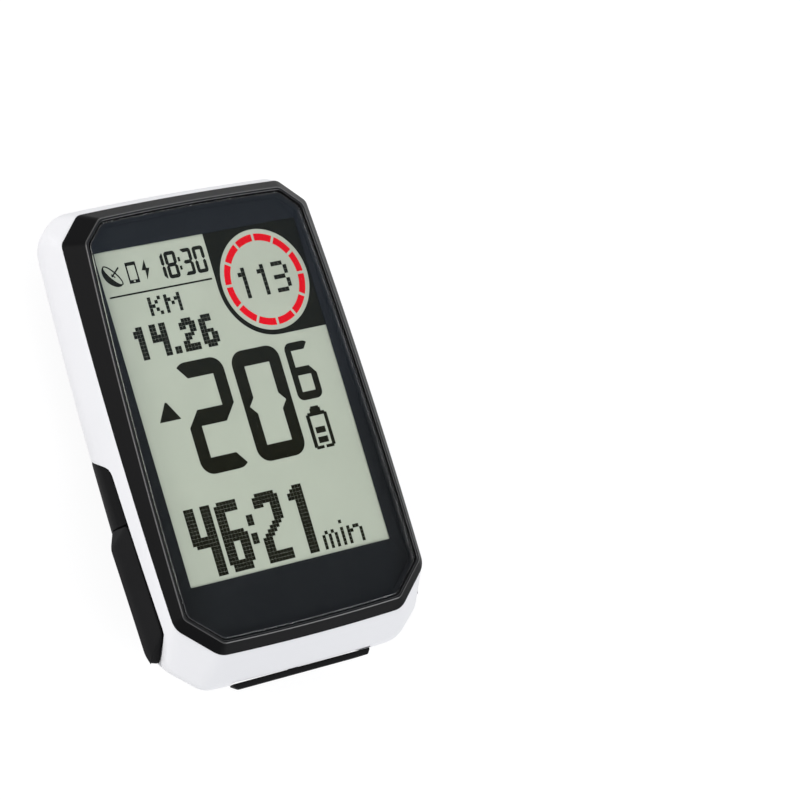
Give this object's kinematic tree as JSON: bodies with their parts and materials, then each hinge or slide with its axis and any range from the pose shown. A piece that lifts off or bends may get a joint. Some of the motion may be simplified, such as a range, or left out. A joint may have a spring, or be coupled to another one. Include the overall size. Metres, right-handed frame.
{
  "type": "cycling computer",
  "caption": "Handlebar cycling computer: tall octagonal display window in a black bezel, white shell, black side and bottom keys, and a quarter-turn mounting puck on its back.",
  "frame": {"origin": "middle of the quarter-turn puck's end face, on which the unit rests", "axes": "+X to the display's right, +Y to the display's top, +Z out of the display"},
  "size_m": [0.0518, 0.0786, 0.02],
  "materials": {
    "black_plastic": "satin black moulding with a fine grain",
    "white_plastic": "satin white moulding",
    "clear_plastic": "polished clear window",
    "black_rubber": "matte black rubber",
    "grey_silicone": "matte grey silicone",
    "display_glass": "pale grey-green display glass",
    "polariser_film": "grey-green film with a soft glare coat",
    "light_guide_plastic": "frosted clear plate",
    "tray_plastic": "off-white moulding",
    "ribbon_film": "amber film",
    "board_laminate": "green board with a solder mask",
    "tinned_steel": "tinned sheet steel",
    "screw_steel": "dark plated steel",
    "brass": "turned brass",
    "ceramic": "unglazed ceramic",
    "battery_foil": "aluminium laminate pouch",
    "pad_foam": "dark foam",
    "moulded_black": "black moulding",
    "red_wire": "red wire cover",
    "black_wire": "black wire cover",
    "lamp_plastic": "yellow lamp resin",
    "vent_film": "white porous film"
  },
  "bodies": {
    "case": {"back_cover": "black_plastic", "back_seal": "grey_silicone", "battery": "battery_foil", "battery_header": "tray_plastic", "battery_pad": "pad_foam", "battery_plug": "moulded_black", "bezel_seal": "grey_silicone", "black_lead": "black_wire", "bottom_key_seal": "grey_silicone", "bottom_switch": "tinned_steel", "buzzer": "moulded_black", "case_screw_1": "screw_steel", "case_screw_2": "screw_steel", "case_screw_3": "screw_steel", "case_screw_4": "screw_steel", "charging_socket": "tinned_steel", "display_ribbon": "ribbon_film", "display_tray": "tray_plastic", "display_window": "clear_plastic", "front_bezel": "black_plastic", "front_glass": "display_glass", "front_polariser": "polariser_film", "left_board_screw": "screw_steel", "left_key_seal": "grey_silicone", "left_lamp": "lamp_plastic", "left_puck_screw": "screw_steel", "left_switch": "tinned_steel", "light_guide": "light_guide_plastic", "main_board": "board_laminate", "middle_housing": "white_plastic", "mount_puck": "black_plastic", "pressure_sensor": "tinned_steel", "radio_antenna": "ceramic", "rear_glass": "display_glass", "rear_polariser": "polariser_film", "red_lead": "red_wire", "ribbon_connector": "moulded_black", "right_board_screw": "screw_steel", "right_key_seal": "grey_silicone", "right_lamp": "lamp_plastic", "right_puck_screw": "screw_steel", "right_switch": "tinned_steel", "satellite_antenna": "ceramic", "shield_can": "tinned_steel", "socket_tongue": "moulded_black", "thread_insert_1": "brass", "thread_insert_2": "brass", "thread_insert_3": "brass", "thread_insert_4": "brass", "vent_membrane": "vent_film", "window_gasket": "black_rubber"},
    "left_key": {"left_key": "black_rubber", "left_plunger": "moulded_black"},
    "right_key": {"right_key": "black_rubber", "right_plunger": "moulded_black"},
    "bottom_key": {"bottom_key": "black_rubber", "bottom_plunger": "moulded_black"},
    "socket_door": {"socket_door": "black_rubber"}
  },
  "joints": [
    {"name": "left_key_press", "type": "slide", "parent": "case", "child": "left_key", "axis": [1, 0, 0], "range_m": [0, 0.0004], "stiffness_N_per_m": 1200},
    {"name": "right_key_press", "type": "slide", "parent": "case", "child": "right_key", "axis": [-1, 0, 0], "range_m": [0, 0.0004], "stiffness_N_per_m": 1200},
    {"name": "bottom_key_press", "type": "slide", "parent": "case", "child": "bottom_key", "axis": [0, 1, 0], "range_m": [0, 0.0004], "stiffness_N_per_m": 1200},
    {"name": "socket_door_hinge", "type": "hinge", "parent": "case", "child": "socket_door", "pos_m": [0, -0.0223, 0.00525], "axis": [1, 0, 0], "range_deg": [0, 100], "stiffness_Nm_per_rad": 0.0005}
  ]
}
